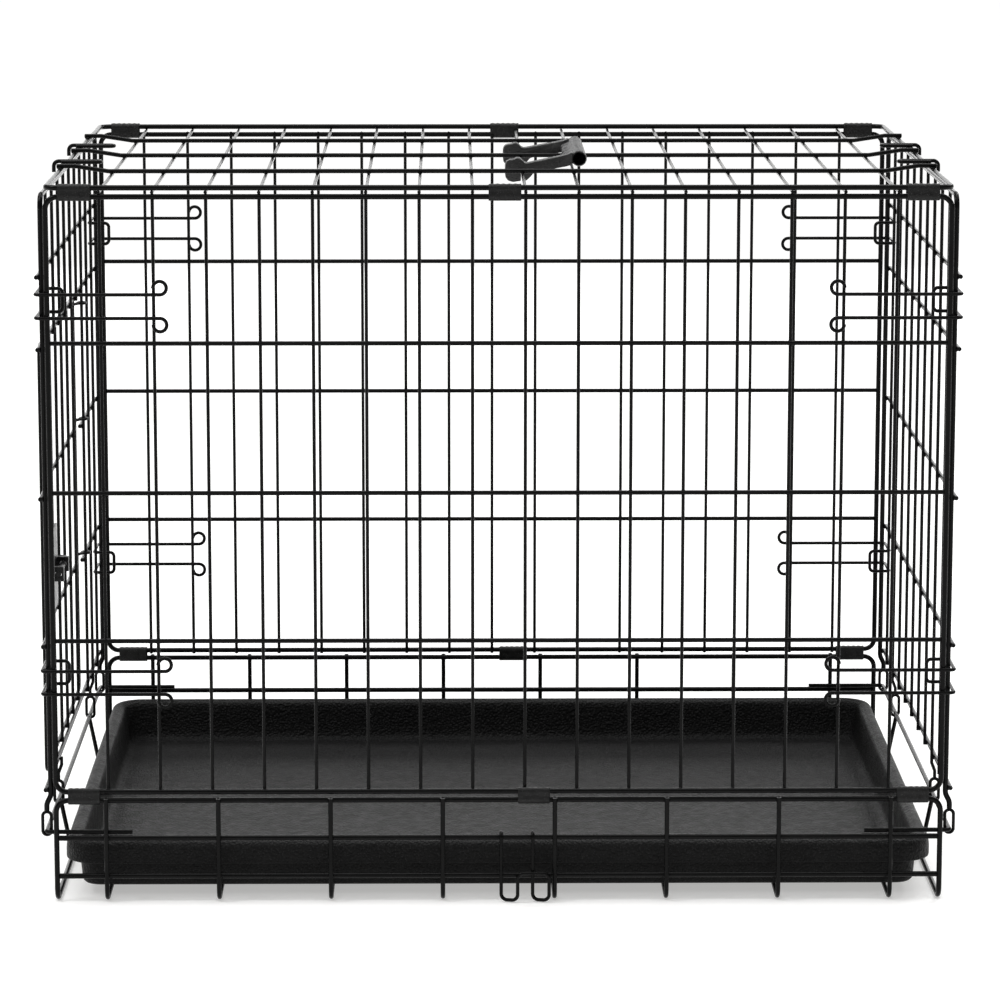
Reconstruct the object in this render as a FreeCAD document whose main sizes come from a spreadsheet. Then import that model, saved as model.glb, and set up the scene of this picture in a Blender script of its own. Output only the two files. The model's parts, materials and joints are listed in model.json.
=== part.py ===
"""Folding wire dog crate, 24-inch class, as a parametric assembly of separate pieces.

Frame: origin on the floor under the middle of the base, +Z up, the long front side faces -Y,
and the door is in the end at -X.  Millimetres.
"""
import FreeCAD, Part
import math
import os
import Sketcher

from FreeCAD import Placement, Rotation, Vector

# ---------------------------------------------------------------- driving sizes

SIZES = {
    # overall
    "length": 610.0,              # over the two end panels
    "width": 457.0,               # over the base wires
    "height": 485.5,              # to the tops of the roof's long wires, at their ends
    # wire diameters
    "frame_wire": 3.6,
    "bar_wire": 3.0,
    "grid_wire": 2.3,
    "base_wire": 3.1,
    "rod_wire": 3.0,
    "loop_wire": 2.2,
    "catch_wire": 2.4,
    "hook_wire": 2.7,
    "door_wire": 2.6,
    "bolt_wire": 4.0,
    # welds: how deep crossing and butting wires bite into each other
    "weld": 0.1,
    "butt": 0.12,
    # panels
    "frame_bend": 8.0,            # centre-line radius of frame corners
    "end_offset": 4.0,            # end panel's plane outside the side frames' end wires
    "end_clearance": 1.2,         # end panel's posts to the side panels' uprights
    "hinge_gap": 2.3,             # clear space between the two wires that a hinge clip joins
    "panel_bottom": 75.8,         # lowest wire of the side and end panels
    "bar_lift": 3.2,              # bars above an equal division of the panel's height
    "end_bar_drop": 5.0,          # end panels' bars below those of the sides
    "end_high_bar": 48.0,         # extra bar of an end panel, above its top bar
    "bar_overhang": 0.3,          # end panel's bars past its posts
    # roof
    "roof_cross_tip": 1.2,        # cross wires past the centres of the frame's long wires
    "roof_bar_flat": 10.0,        # long wires' level ends, inward of the frame's end wires
    # hinge clips
    "clip_length": 21.4,
    "clip_wall": 0.9,
    "clip_inset": 18.9,           # outer clips' centres from the frame's end wire
    "clip_notch_gap": 0.4,        # cut-out beside a wire that ends at the clip
    "clip_gap": 1.8,              # middle clip to the next wire along
    "back_roof_clip": 9.3,        # that clip's centre
    # base tray
    "base_mid_wire": 44.0,
    "base_low_wire": 17.8,
    "base_end_gap": 33.5,         # end wire to the first cross wire
    "rod_level": 47.5,            # hinge rods of the end panels
    "rod_stub": 57.5,
    "rod_bend": 2.5,
    "runner_bend": 6.0,
    "strut_offset": 9.0,          # struts beside the hinge loops
    "strut_lean": 8.0,            # struts' feet inward of the hinge rods
    # end panel hinge loops
    "loop_travel": 10.0,
    "loop_clearance": 0.3,
    "jog_start": 4.5,             # a post's jog out to its loop, above the post's foot
    "jog_end": 10.3,
    # corner catches
    "high_catch": 24.8,           # above the highest bar
    "low_catch": 27.8,            # below the lowest bar
    "catch_gap": 15.6,            # between the two legs
    "catch_bend": 3.0,
    "catch_depth": 30.5,          # how far behind the side panel the bight stands
    "catch_reach": 15.0,          # bight's reach into the crate
    "catch_curl": 4.4,            # centre-line radius of the curled tips
    "catch_clearance": 0.5,
    # roof hooks
    "hook_leg": 7.4,
    "hook_gap": 7.2,              # between the two runs of a hook
    "hook_bend": 3.5,
    "left_hook_reach": 29.0,
    "right_hook_reach": 24.0,
    # door
    "door_gap": 0.3,              # door to the end panel's bars
    "door_hinge_inset": 9.0,
    "door_overlap": 3.8,          # door past the doorway's front upright
    "door_bottom_gap": 3.0,
    "door_top_gap": 3.2,
    "door_bend": 6.0,
    "ring_clearance": 0.45,
    "ring_gap": 3.0,              # hinge ring to the bar below or above it
    # door bolt
    "bolt_level": 213.0,
    "bolt_clearance": 0.4,
    "bolt_tip_gap": 4.0,          # retracted tip to the doorway's front upright
    "bolt_length": 60.0,
    "bolt_handle_out": 13.7,
    "bolt_handle_up": 23.0,
    "bolt_bend": 3.5,
    "plate_wall": 1.5,
    "plate_weld": 0.03,           # bite into the door's uprights
    "plate_inset": 1.0,           # from the retracted tip
    "plate_height": 56.0,
    "plate_length": 40.0,
    "guide_wall": 4.0,
    "guide_height": 10.0,
    "guide_bore_gap": 0.3,
    # pan
    "pan_end_gap": 4.0,           # rim to the base's end wires
    "pan_side_gap": 5.6,          # rim to the base's side wires
    "pan_top": 39.5,
    "pan_wall": 2.5,
    "pan_rim": 7.0,               # width of the rolled rim
    "pan_skirt": 16.3,            # height of the rim's turned-down skirt
    "pan_corner": 20.0,
    "pan_draft": 6.0,             # degrees
    "pan_rest_gap": 0.1,
    # carry handle
    "grip_outer": 10.6,
    "grip_bore": 8.0,
    "handle_length": 111.8,
    "handle_place": -42.6,
    "handle_reach": 38.6,
    "claw_outer": 11.0,
    "claw_clearance": 0.35,
    "claw_mouth": 1.9,
    "arm_wall": 10.0,
    "arm_height": 8.0,
    "heel_length": 12.0,          # claw's heel, behind the wire that it hangs on
    "heel_low": 4.0,              # heel's underside and top, from that wire's centre
    "heel_high": 7.5,
    "grip_rest_gap": 0.2,
    # fold latch
    "latch_left": 1.6,            # the two legs that hang on the wire
    "latch_right": 22.7,
    "latch_bridge": 20.4,
    "latch_foot": 1.7,
    "latch_finger": 11.0,
    "latch_step": 2.7,            # bridge in front of the hanging legs
    "latch_bend": 4.0,
    "latch_clearance": 0.3,
}

FRONT_BAYS = 17                   # gaps between uprights in the front panel and the roof
BACK_BAYS = 18
END_BAYS = 10
PANEL_TIERS = 4                   # rows of openings between a panel's bars
BASE_CROSS_WIRES = 8
DOORWAY_BAYS = (1, 7)             # the end panel's uprights on each side of the doorway
LOOP_BAYS = (2, 8)                # uprights that end in a hinge loop
HOOK_SHARES = (-0.34, 0.18)       # roof hooks' places, as shares of the half width
OVERRUN = 1.0                     # how far a cutter reaches past the face it opens

doc = FreeCAD.newDocument("wire_dog_crate")
sheet = doc.addObject("Spreadsheet::Sheet", "Sizes")
for row, (alias, value) in enumerate(SIZES.items(), start=1):
    sheet.set(f"A{row}", alias)
    sheet.set(f"B{row}", str(value))
    sheet.setAlias(f"B{row}", alias)
doc.recompute()


class Size:
    """A number together with the sheet formula that gives it."""

    def __init__(self, value, formula):
        self.value = value
        self.formula = formula

    def _with(self, other, sign, swapped=False):
        other = other if isinstance(other, Size) else Size(float(other), f"{other:g}")
        first, second = (other, self) if swapped else (self, other)
        value = {
            "+": lambda a, b: a + b,
            "-": lambda a, b: a - b,
            "*": lambda a, b: a * b,
            "/": lambda a, b: a / b,
        }[sign](first.value, second.value)
        return Size(value, f"({first.formula} {sign} {second.formula})")

    def __add__(self, other):
        return self._with(other, "+")

    def __radd__(self, other):
        return self._with(other, "+", swapped=True)

    def __sub__(self, other):
        return self._with(other, "-")

    def __rsub__(self, other):
        return self._with(other, "-", swapped=True)

    def __mul__(self, other):
        return self._with(other, "*")

    def __rmul__(self, other):
        return self._with(other, "*", swapped=True)

    def __truediv__(self, other):
        return self._with(other, "/")

    def __neg__(self):
        return self * -1

    def __float__(self):
        return float(self.value)


size = {alias: Size(float(sheet.get(alias)), f"Sizes.{alias}") for alias in SIZES}


# ---------------------------------------------------------------- building blocks

AXES = {
    "X": Rotation(Vector(0, 1, 0), 90),
    "Y": Rotation(Vector(1, 0, 0), -90),
    "Z": Rotation(),
}


def bind(item, name, amount):
    """Ties a property to the sheet."""
    item.setExpression(name, amount.formula)


def place(item, where, rotation):
    """Turns a primitive and ties its place to the sheet."""
    item.Placement = Placement(Vector(*(float(c) for c in where)), rotation)
    for letter, amount in zip("xyz", where):
        if isinstance(amount, Size):
            item.setExpression(f"Placement.Base.{letter}", amount.formula)
    return item


def rod(axis, where, length, diameter):
    """A straight wire from a point along +X, +Y or +Z."""
    item = doc.addObject("Part::Cylinder", "run")
    bind(item, "Radius", diameter / 2)
    bind(item, "Height", length)
    return place(item, where, AXES[axis])


def block(where, extents):
    """A box from its lowest corner."""
    item = doc.addObject("Part::Box", "block")
    for name, amount in zip(("Length", "Width", "Height"), extents):
        bind(item, name, amount)
    return place(item, where, Rotation())


def slanted_rod(start, end, diameter):
    """A straight wire between two points, in any direction."""
    item = doc.addObject("Part::Cylinder", "run")
    bind(item, "Radius", diameter / 2)
    item.Height = (end - start).Length
    item.Placement = Placement(start, Rotation(Vector(0, 0, 1), end - start))
    return item


def arc(centre, outward, onward, radius, diameter, degrees=90.0):
    """A bent piece of wire: from centre + outward * radius, turning towards onward."""
    item = doc.addObject("Part::Torus", "bend")
    bind(item, "Radius1", radius)
    bind(item, "Radius2", diameter / 2)
    item.Angle3 = degrees
    item.Placement = Placement(centre, Rotation(outward, onward, outward.cross(onward), "ZXY"))
    return item


def bent_wire(corners, radius, diameter, closed=False):
    """Straight runs with round bends that follow a line of corners."""
    points = [Vector(*(float(c) for c in corner)) for corner in corners]
    count = len(points)
    pieces = []
    trims = [0.0] * count
    bends = range(count) if closed else range(1, count - 1)
    for i in bends:
        back = (points[i - 1] - points[i]).normalize()
        ahead = (points[(i + 1) % count] - points[i]).normalize()
        half = back.getAngle(ahead) / 2
        trims[i] = float(radius) / math.tan(half)
        middle = (back + ahead).normalize() * (float(radius) / math.sin(half))
        centre = points[i] + middle
        outward = (points[i] + back * trims[i] - centre).normalize()
        turn = 180.0 - math.degrees(2 * half)
        pieces.append(arc(centre, outward, back * -1, radius, diameter, turn))
    for i in range(count if closed else count - 1):
        start, end = points[i], points[(i + 1) % count]
        along = (end - start).normalize()
        first = start + along * trims[i]
        last = end - along * trims[(i + 1) % count]
        pieces.append(slanted_rod(first, last, diameter))
    return pieces


def union(pieces, label="joined"):
    item = doc.addObject("Part::MultiFuse", label)
    item.Shapes = pieces
    return item


def without(whole, cutter, label="cut"):
    item = doc.addObject("Part::Cut", label)
    item.Base = whole
    item.Tool = cutter
    return item


nodes = []


def node(name, pieces):
    """One named sub-part, made of one or more separate solids."""
    item = doc.addObject("Part::Compound", name)
    item.Label = name
    item.Links = pieces
    item.Placement = Placement()
    nodes.append(item)
    return item


# ---------------------------------------------------------------- shared places

weld, butt = size["weld"], size["butt"]
frame_wire, bar_wire, grid_wire = size["frame_wire"], size["bar_wire"], size["grid_wire"]
base_wire, rod_wire, loop_wire = size["base_wire"], size["rod_wire"], size["loop_wire"]
catch_wire, hook_wire, door_wire = size["catch_wire"], size["hook_wire"], size["door_wire"]
bolt_wire = size["bolt_wire"]

# planes across the width: side frames, their uprights and their bars
side = size["width"] / 2 - base_wire - frame_wire / 2
side_uprights = side - frame_wire / 2 - grid_wire / 2 + weld
side_bars = side_uprights + grid_wire / 2 + bar_wire / 2 - weld
base_uprights = side + frame_wire / 2 + base_wire / 2 - weld

# planes along the length: end panels, their bars and uprights, and the side frames' ends
end = size["length"] / 2 - bar_wire - frame_wire / 2
end_bars = end + frame_wire / 2 + bar_wire / 2 - weld
end_uprights = end_bars - bar_wire / 2 - grid_wire / 2 + weld
frame_end = end - size["end_offset"]
post = side_uprights - grid_wire / 2 - size["end_clearance"] - frame_wire / 2

# levels
roof_bars = size["height"] - bar_wire / 2
roof = roof_bars - bar_wire / 2 - frame_wire / 2 + weld
roof_cross = roof - frame_wire / 2 - grid_wire / 2 + weld
roof_bars_low = roof_cross + grid_wire / 2 + bar_wire / 2 - weld
hinge_pitch = frame_wire + size["hinge_gap"]
panel_top = roof - hinge_pitch
panel_bottom = size["panel_bottom"]
base_top = panel_bottom - hinge_pitch
floor_frame = frame_wire / 2
floor_cross = frame_wire - base_wire / 2
runner_level = frame_wire + rod_wire / 2 - weld
tier = (panel_top - panel_bottom) / PANEL_TIERS
bar_levels = [panel_bottom + tier * step + size["bar_lift"] for step in range(1, PANEL_TIERS)]

front_pitch = frame_end * 2 / FRONT_BAYS
back_pitch = frame_end * 2 / BACK_BAYS
end_pitch = post * 2 / END_BAYS
base_pitch = (frame_end - size["base_end_gap"]) * 2 / (BASE_CROSS_WIRES - 1)


def spread(half_span, pitch, index):
    """The place of an upright, counted from the low side."""
    return pitch * index - half_span


# ---------------------------------------------------------------- base

base_corners = [
    (-frame_end, -side, base_top),
    (frame_end, -side, base_top),
    (frame_end, -side, floor_frame),
    (frame_end, side, floor_frame),
    (frame_end, side, base_top),
    (-frame_end, side, base_top),
    (-frame_end, side, floor_frame),
    (-frame_end, -side, floor_frame),
]
node("base_frame", bent_wire(base_corners, size["frame_bend"], frame_wire, closed=True))

cross_pieces = []
for index in range(BASE_CROSS_WIRES):
    place_x = base_pitch * index - frame_end + size["base_end_gap"]
    cross_pieces += bent_wire(
        [
            (place_x, -base_uprights, base_top + frame_wire / 2),
            (place_x, -base_uprights, floor_cross),
            (place_x, base_uprights, floor_cross),
            (place_x, base_uprights, base_top + frame_wire / 2),
        ],
        size["frame_bend"],
        base_wire,
    )
node("base_cross_wires", cross_pieces)

long_start = frame_wire / 2 - frame_end - butt
long_length = (frame_end - frame_wire / 2 + butt) * 2
for name, wall in (("base_front_long_wires", -side), ("base_back_long_wires", side)):
    levels = (size["base_mid_wire"], size["base_low_wire"])
    node(name, [rod("X", (long_start, wall, level), long_length, frame_wire) for level in levels])

loop_radius = rod_wire / 2 + size["loop_clearance"] + loop_wire / 2
rod_line = end + loop_radius
loop_y = spread(post, end_pitch, LOOP_BAYS[1])
strut_y = loop_y - size["strut_offset"]
strut_top = size["rod_level"] - rod_wire / 2 + weld / 2
strut_foot = rod_line - size["strut_lean"]
runner_pieces = []
for depth in (-strut_y, strut_y):
    runner_pieces += bent_wire(
        [
            (-rod_line, depth, strut_top),
            (strut_foot * -1, depth, runner_level),
            (strut_foot, depth, runner_level),
            (rod_line, depth, strut_top),
        ],
        size["runner_bend"],
        rod_wire,
    )
node("base_floor_runners", runner_pieces)

stub_y = side - frame_wire / 2 - rod_wire / 2 + weld
for name, sign in (("left_hinge_rod", -1), ("right_hinge_rod", 1)):
    stub_end = (rod_line - size["rod_stub"]) * sign
    node(
        name,
        bent_wire(
            [
                (stub_end, -stub_y, size["rod_level"]),
                (rod_line * sign, -stub_y, size["rod_level"]),
                (rod_line * sign, stub_y, size["rod_level"]),
                (stub_end, stub_y, size["rod_level"]),
            ],
            size["rod_bend"],
            rod_wire,
        ),
    )


# ---------------------------------------------------------------- front and back panels

def side_panel(name, sign, bays):
    """A long side: a bent frame, uprights inside it and bars outside the uprights."""
    wall = side * sign
    node(
        f"{name}_frame",
        bent_wire(
            [
                (-frame_end, wall, panel_bottom),
                (frame_end, wall, panel_bottom),
                (frame_end, wall, panel_top),
                (-frame_end, wall, panel_top),
            ],
            size["frame_bend"],
            frame_wire,
            closed=True,
        ),
    )
    pitch = frame_end * 2 / bays
    start = panel_bottom - frame_wire / 2
    node(
        f"{name}_uprights",
        [
            rod(
                "Z",
                (spread(frame_end, pitch, index), side_uprights * sign, start),
                panel_top - panel_bottom + frame_wire / 2,
                grid_wire,
            )
            for index in range(1, bays)
        ],
    )
    node(
        f"{name}_bars",
        [
            rod("X", (long_start, side_bars * sign, level), long_length, bar_wire)
            for level in bar_levels
        ],
    )


catch_face = side + frame_wire / 2 + catch_wire / 2 - weld
catch_out = end + frame_wire / 2 + size["catch_clearance"] + catch_wire / 2
catch_depth = side - size["catch_depth"]


def catch(side_sign, end_sign, level):
    """A hairpin catch: two legs on the panel's face, round the end post, and a bight inside."""
    pitch = front_pitch if side_sign < 0 else back_pitch
    tip = (frame_end - pitch * 2 - size["catch_curl"]) * end_sign
    outside = catch_out * end_sign
    inside = (catch_out - size["catch_reach"]) * end_sign
    face = catch_face * side_sign
    depth = catch_depth * side_sign
    high = level + size["catch_gap"] / 2
    low = level - size["catch_gap"] / 2
    pieces = bent_wire(
        [
            (tip, face, high),
            (outside, face, high),
            (outside, depth, high),
            (inside, depth, high),
            (inside, depth, low),
            (outside, depth, low),
            (outside, face, low),
            (tip, face, low),
        ],
        size["catch_bend"],
        catch_wire,
    )
    curl = size["catch_curl"]
    for leg, turn in ((high, 1), (low, -1)):
        centre = Vector(float(tip), float(face), float(leg) + turn * float(curl))
        along = Vector(-end_sign, 0, 0)
        pieces.append(arc(centre, Vector(0, 0, -turn), along, curl, catch_wire, 270.0))
    return pieces


def catches(name, side_sign):
    """The four catches of one side panel."""
    pieces = []
    high = bar_levels[-1] + size["high_catch"]
    low = bar_levels[0] - size["low_catch"]
    for end_sign in (-1, 1):
        for level in (high, low):
            pieces += catch(side_sign, end_sign, level)
    node(name, pieces)


side_panel("front", -1, FRONT_BAYS)
catches("front_catches", -1)
side_panel("back", 1, BACK_BAYS)
catches("back_catches", 1)


# ---------------------------------------------------------------- roof

node(
    "roof_frame",
    bent_wire(
        [
            (-frame_end, -side, roof),
            (frame_end, -side, roof),
            (frame_end, side, roof),
            (-frame_end, side, roof),
        ],
        size["frame_bend"],
        frame_wire,
        closed=True,
    ),
)
cross_start = -side - size["roof_cross_tip"]
cross_length = cross_start * -2
node(
    "roof_cross_wires",
    [
        rod("Y", (spread(frame_end, front_pitch, index), cross_start, roof_cross), cross_length, grid_wire)
        for index in range(1, FRONT_BAYS)
    ],
)
roof_bar_end = frame_end + frame_wire / 2 + size["bar_overhang"]
flat_end = frame_end - size["roof_bar_flat"]
low_end = frame_end - front_pitch + grid_wire
long_wires = []
for step in (-1, 0, 1):
    depth = side / 2 * step
    long_wires += bent_wire(
        [
            (-roof_bar_end, depth, roof_bars),
            (-flat_end, depth, roof_bars),
            (-low_end, depth, roof_bars_low),
            (low_end, depth, roof_bars_low),
            (flat_end, depth, roof_bars),
            (roof_bar_end, depth, roof_bars),
        ],
        size["frame_bend"],
        bar_wire,
    )
node("roof_long_wires", long_wires)


def roof_hooks(name, sign, reach):
    """Hairpins on the roof's end wire; one run turns down outside the end panel's top wire."""
    outside = (end + frame_wire / 2 + size["catch_clearance"] + hook_wire / 2) * sign
    inside = (end - reach) * sign
    back_end = (frame_end + frame_wire / 2) * sign
    level = roof + frame_wire / 2 + hook_wire / 2 - weld
    pieces = []
    for share in HOOK_SHARES:
        depth = side * share
        near = depth - size["hook_gap"]
        pieces += bent_wire(
            [
                (outside, depth, level - size["hook_leg"]),
                (outside, depth, level),
                (inside, depth, level),
                (inside, near, level),
                (back_end, near, level),
            ],
            size["hook_bend"],
            hook_wire,
        )
    node(name, pieces)


roof_hooks("left_roof_hooks", -1, size["left_hook_reach"])
roof_hooks("right_roof_hooks", 1, size["right_hook_reach"])


# ---------------------------------------------------------------- hinge clips

def clip_body():
    """One crimped sleeve: a slot-shaped tube that holds two parallel wires."""
    body = doc.addObject("PartDesign::Body", "hinge_clip")
    plane = next(f for f in body.Origin.OriginFeatures if f.Role == "YZ_Plane")
    sketch = body.newObject("Sketcher::SketchObject", "clip_section")
    sketch.AttachmentSupport = (plane, [""])
    sketch.MapMode = "FlatFace"
    half = float(hinge_pitch) / 2
    outline = (
        ("inner", frame_wire / 2 + weld / 2),
        ("outer", frame_wire / 2 + size["clip_wall"]),
    )
    for label, radius in outline:
        r = float(radius)
        first = sketch.GeometryCount
        sketch.addGeometry(Part.LineSegment(Vector(r, -half, 0), Vector(r, half, 0)))
        sketch.addGeometry(Part.ArcOfCircle(Part.Circle(Vector(0, half, 0), Vector(0, 0, 1), r), 0, math.pi))
        sketch.addGeometry(Part.LineSegment(Vector(-r, half, 0), Vector(-r, -half, 0)))
        low = Part.Circle(Vector(0, -half, 0), Vector(0, 0, 1), r)
        sketch.addGeometry(Part.ArcOfCircle(low, math.pi, 2 * math.pi))
        joints = ((0, 2, 1, 1), (1, 2, 2, 1), (2, 2, 3, 1), (3, 2, 0, 1))
        for a, a_end, b, b_end in joints:
            sketch.addConstraint(
                Sketcher.Constraint("Tangent", first + a, a_end, first + b, b_end)
            )
        sketch.addConstraint(Sketcher.Constraint("Vertical", first))
        sketch.addConstraint(Sketcher.Constraint("Symmetric", first + 1, 3, first + 3, 3, -1, 1))
        sketch.addConstraint(Sketcher.Constraint("Radius", first + 1, r))
        sketch.renameConstraint(sketch.ConstraintCount - 1, f"{label}_radius")
        sketch.setExpression(f"Constraints.{label}_radius", radius.formula)
        sketch.addConstraint(
            Sketcher.Constraint("DistanceY", first + 3, 3, first + 1, 3, 2 * half)
        )
        sketch.renameConstraint(sketch.ConstraintCount - 1, f"{label}_pitch")
        sketch.setExpression(f"Constraints.{label}_pitch", hinge_pitch.formula)
    pad = body.newObject("PartDesign::Pad", "clip_pad")
    pad.Profile = sketch
    pad.Midplane = True
    pad.setExpression("Length", "Sizes.clip_length")
    return body


clip = clip_body()
doc.recompute()


def clip_at(along, sign, level, wires):
    """One clip, with its inner wall cut out for wires that end inside its length."""
    link = doc.addObject("App::Link", "clip")
    link.LinkedObject = clip
    place(link, (along, side * sign, level), Rotation())
    wide = grid_wire + size["clip_notch_gap"] * 2
    deep = size["clip_wall"] + weld
    inner = side - frame_wire / 2 - deep
    tall = hinge_pitch + frame_wire + size["clip_wall"] * 4
    low_y = inner if sign > 0 else -inner - deep
    notches = [block((wire - wide / 2, low_y, level - tall / 2), (wide, deep, tall)) for wire in wires]
    return without(link, union(notches, "clip_notches"), "notched_clip")


def clips(name, sign, level, middle, pitch, wires):
    """Three clips along one hinge line."""
    outer = frame_end - size["clip_inset"]
    pieces = []
    for end_sign in (-1, 1):
        beside = [(frame_end - pitch) * end_sign, (frame_end - pitch * 2) * end_sign]
        pieces.append(clip_at(outer * end_sign, sign, level, beside))
    node(name, pieces + [clip_at(middle, sign, level, wires)])


base_hinge = (panel_bottom + base_top) / 2
roof_hinge = (panel_top + roof) / 2
first_right_wire = front_pitch / 2
first_cross_wire = base_pitch / 2
centre_wire = back_pitch * 0
half_clip = size["clip_length"] / 2 + size["clip_gap"]
front_base_clip = first_cross_wire - base_wire / 2 - half_clip
front_roof_clip = first_right_wire - grid_wire / 2 - half_clip
front_wires = [-first_right_wire, first_right_wire]
back_wires = [centre_wire, back_pitch]
shared_wires = [centre_wire, first_right_wire]
clips("front_base_hinge_clips", -1, base_hinge, front_base_clip, front_pitch, front_wires)
clips("back_base_hinge_clips", 1, base_hinge, back_pitch / 2, back_pitch, back_wires)
clips("front_roof_hinge_clips", -1, roof_hinge, front_roof_clip, front_pitch, front_wires)
clips("back_roof_hinge_clips", 1, roof_hinge, size["back_roof_clip"], back_pitch, shared_wires)


# ---------------------------------------------------------------- end panels

loop_top = size["rod_level"] + size["loop_travel"]
post_foot = loop_top + loop_radius + loop_wire / 2 - butt / 4
jog_low = post_foot + size["jog_start"]
jog_high = post_foot + size["jog_end"]
doorway = [spread(post, end_pitch, bay) for bay in DOORWAY_BAYS]
levels = [panel_bottom] + [level - size["end_bar_drop"] for level in bar_levels]
door_sill, door_head = levels[0], levels[-1]


def end_panel(name, sign, doorway_open):
    """An end: a bent frame, uprights, outer bars and the loops that hang on the rod."""
    across = end * sign
    hanging = rod_line * sign
    node(
        f"{name}_frame",
        bent_wire(
            [
                (hanging, -post, post_foot),
                (hanging, -post, jog_low),
                (across, -post, jog_high),
                (across, -post, panel_top),
                (across, post, panel_top),
                (across, post, jog_high),
                (hanging, post, jog_low),
                (hanging, post, post_foot),
            ],
            size["frame_bend"],
            frame_wire,
        ),
    )
    uprights = []
    for bay in range(1, END_BAYS):
        depth = spread(post, end_pitch, bay)
        in_doorway = doorway_open and DOORWAY_BAYS[0] < bay < DOORWAY_BAYS[1]
        top = panel_top - frame_wire / 2 + butt
        low = door_head - bar_wire / 2 if in_doorway else panel_bottom - bar_wire / 2
        plane = end_uprights * sign
        if bay in LOOP_BAYS:
            reach_up = door_sill + bar_wire / 2 if in_doorway else top
            jogged = [
                (hanging, depth, post_foot),
                (hanging, depth, jog_low),
                (plane, depth, jog_high),
                (plane, depth, reach_up),
            ]
            run = bent_wire(jogged, grid_wire, grid_wire)
            uprights += [union(run, "short_upright")] if in_doorway else run
        if in_doorway or bay not in LOOP_BAYS:
            uprights.append(rod("Z", (plane, depth, low), top - low, grid_wire))
    node(f"{name}_uprights", uprights)

    reach = post + frame_wire / 2 + size["bar_overhang"]
    bars = []
    for level in levels + [levels[-1] + size["end_high_bar"]]:
        if doorway_open and level in levels[1:-1]:
            edges = (doorway[0] + grid_wire / 2, doorway[1] - grid_wire / 2)
            spans = [(-reach, edges[0]), (edges[1], reach)]
        else:
            spans = [(-reach, reach)]
        for low, high in spans:
            bars.append(rod("Y", (end_bars * sign, low, level), high - low, bar_wire))
    node(f"{name}_bars", bars)

    loops = []
    rim = float(loop_radius)
    depths = [-float(post), float(post)] + [float(spread(post, end_pitch, bay)) for bay in LOOP_BAYS]
    for depth in depths:
        low = Vector(float(hanging), depth, float(size["rod_level"]))
        high = Vector(float(hanging), depth, float(loop_top))
        for edge in (-1, 1):
            offset = Vector(edge * rim, 0, 0)
            loops.append(slanted_rod(low + offset, high + offset, loop_wire))
        loops.append(arc(low, Vector(1, 0, 0), Vector(0, 0, -1), loop_radius, loop_wire, 180.0))
        loops.append(arc(high, Vector(-1, 0, 0), Vector(0, 0, 1), loop_radius, loop_wire, 180.0))
    node(f"{name}_hinge_loops", loops)


end_panel("left_end", -1, True)
end_panel("right_end", 1, False)


# ---------------------------------------------------------------- door

door_plane = end_bars + bar_wire / 2 + size["door_gap"] + door_wire / 2
door_uprights = door_plane - door_wire / 2 - grid_wire / 2 + weld
door_front = doorway[0] - size["door_overlap"]
door_back = doorway[1] - size["door_hinge_inset"]
door_low = door_sill + size["door_bottom_gap"]
door_high = door_head - size["door_top_gap"]

node(
    "door_frame",
    bent_wire(
        [
            (-door_plane, door_front, door_low),
            (-door_plane, door_back, door_low),
            (-door_plane, door_back, door_high),
            (-door_plane, door_front, door_high),
        ],
        size["door_bend"],
        door_wire,
        closed=True,
    ),
)
node(
    "door_uprights",
    [
        rod(
            "Z",
            (-door_uprights, spread(post, end_pitch, bay), door_low - door_wire / 2),
            door_high - door_low + door_wire,
            grid_wire,
        )
        for bay in range(DOORWAY_BAYS[0] + 1, DOORWAY_BAYS[1])
    ],
)
door_bar_start = door_front + door_wire / 2 - butt
node(
    "door_bars",
    [
        rod(
            "Y",
            (-door_plane, door_bar_start, level),
            door_back - door_wire / 2 + butt - door_bar_start,
            door_wire,
        )
        for level in levels[1:-1]
    ],
)

ring_radius = grid_wire / 2 + size["ring_clearance"] + loop_wire / 2
hinge_axis = Vector(-float(end_uprights), float(doorway[1]), 0)
ring_step = bar_wire / 2 + loop_wire / 2 + size["ring_gap"]
rings = []
for level in (door_high - ring_step, levels[2] + ring_step, levels[1] + ring_step):
    centre = hinge_axis + Vector(0, 0, float(level))
    ring = arc(centre, Vector(1, 0, 0), Vector(0, 1, 0), ring_radius, loop_wire, 360.0)
    target = Vector(-float(door_plane), float(door_back), float(level))
    along = (target - centre).normalize()
    tail = slanted_rod(
        centre + along * float(ring_radius),
        target - along * float(door_wire / 2 - butt / 2),
        loop_wire,
    )
    rings.append(union([ring, tail], "hinge_ring"))
node("door_hinge_rings", rings)


# ---------------------------------------------------------------- door bolt

bolt_plane = end_uprights - grid_wire / 2 - size["bolt_clearance"] - bolt_wire / 2
bolt_tip = doorway[0] + grid_wire / 2 + size["bolt_tip_gap"]
bolt_tail = bolt_tip + size["bolt_length"]
bolt_level = size["bolt_level"]
handle_plane = bolt_plane + size["bolt_handle_out"]
node(
    "door_bolt",
    bent_wire(
        [
            (-bolt_plane, bolt_tip, bolt_level),
            (-bolt_plane, bolt_tail, bolt_level),
            (-handle_plane, bolt_tail, bolt_level),
            (-handle_plane, bolt_tail, bolt_level + size["bolt_handle_up"]),
        ],
        size["bolt_bend"],
        bolt_wire,
    ),
)

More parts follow.
